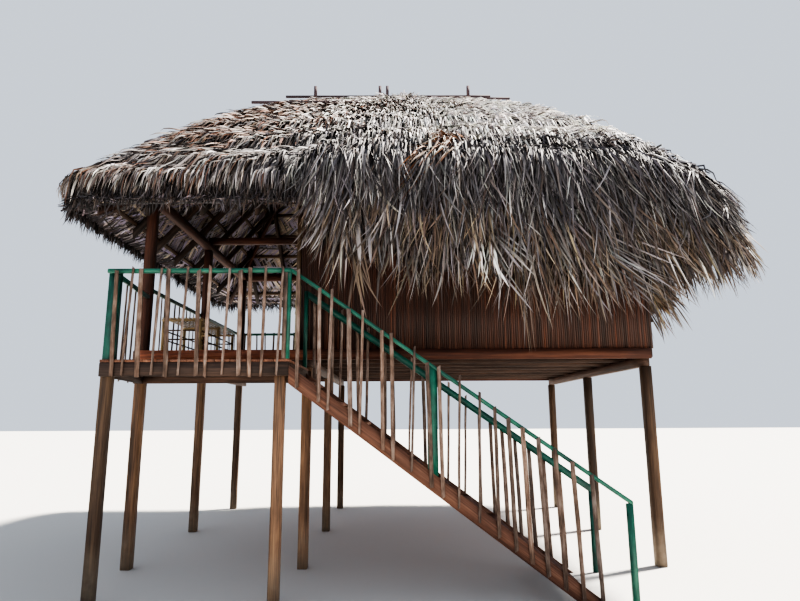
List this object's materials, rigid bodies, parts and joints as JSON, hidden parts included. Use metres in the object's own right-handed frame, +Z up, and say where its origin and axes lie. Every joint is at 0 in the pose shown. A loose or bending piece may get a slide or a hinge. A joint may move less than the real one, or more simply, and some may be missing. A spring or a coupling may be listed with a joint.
{
  "type": "stilt house",
  "caption": "Raised timber house with a reed-walled room, an open veranda, a landing with a straight stair, and a hipped palm-leaf roof.",
  "frame": {"origin": "on the ground, under the middle of the outline", "axes": "+X to the right along the front, +Y to the back, +Z up"},
  "size_m": [7.3317, 6.5213, 6.6349],
  "materials": {
    "post_timber": "rough sawn, weathered",
    "dark_timber": "rough sawn, dark",
    "red_timber": "sawn, reddish",
    "floor_boards": "planed, worn",
    "reed_panel": "split reeds, matte",
    "bamboo": "dry bamboo, satin",
    "palm_thatch": "dry palm leaves, matte",
    "palm_leaf_ends": "dry palm leaves, matte",
    "dark_pole": "weathered, matte",
    "green_rail": "brushed oil paint, satin"
  },
  "bodies": {
    "root": {"front_row_posts": "post_timber", "middle_row_posts": "post_timber", "back_row_posts": "post_timber", "landing_posts": "post_timber", "side_floor_beams": "dark_timber", "floor_joists": "dark_timber", "front_floor_beam": "red_timber", "back_floor_beam": "red_timber", "left_floor_beam": "red_timber", "veranda_floor": "floor_boards", "room_floor": "floor_boards", "landing_beams": "dark_timber", "landing_floor": "floor_boards", "front_wall": "reed_panel", "back_wall": "reed_panel", "right_wall": "reed_panel", "veranda_wall": "reed_panel", "wall_posts": "dark_timber", "door_frame": "red_timber", "corner_pole": "bamboo", "wall_plates": "red_timber", "tie_beam": "red_timber", "ridge_beam": "dark_timber", "hip_rafters": "dark_timber", "long_rafters": "dark_timber", "end_rafters": "dark_timber", "long_purlins": "bamboo", "end_purlins": "bamboo", "thatch_front": "palm_thatch", "thatch_back": "palm_thatch", "thatch_left": "palm_thatch", "thatch_right": "palm_thatch", "thatch_ridge": "palm_thatch", "fringe_front": "palm_leaf_ends", "fringe_right": "palm_leaf_ends", "fringe_back": "palm_leaf_ends", "side_leaves": "palm_leaf_ends", "ridge_poles": "dark_pole", "landing_rail_front": "green_rail", "landing_rail_left": "green_rail", "veranda_rail_left": "green_rail", "veranda_rail_back": "green_rail", "bench_frame": "bamboo", "bench_rails": "dark_timber", "bench_seat": "bamboo", "stair_stringers": "dark_timber", "stair_treads": "floor_boards", "stair_rail_front": "green_rail", "stair_rail_rear": "green_rail"}
  },
  "joints": []
}
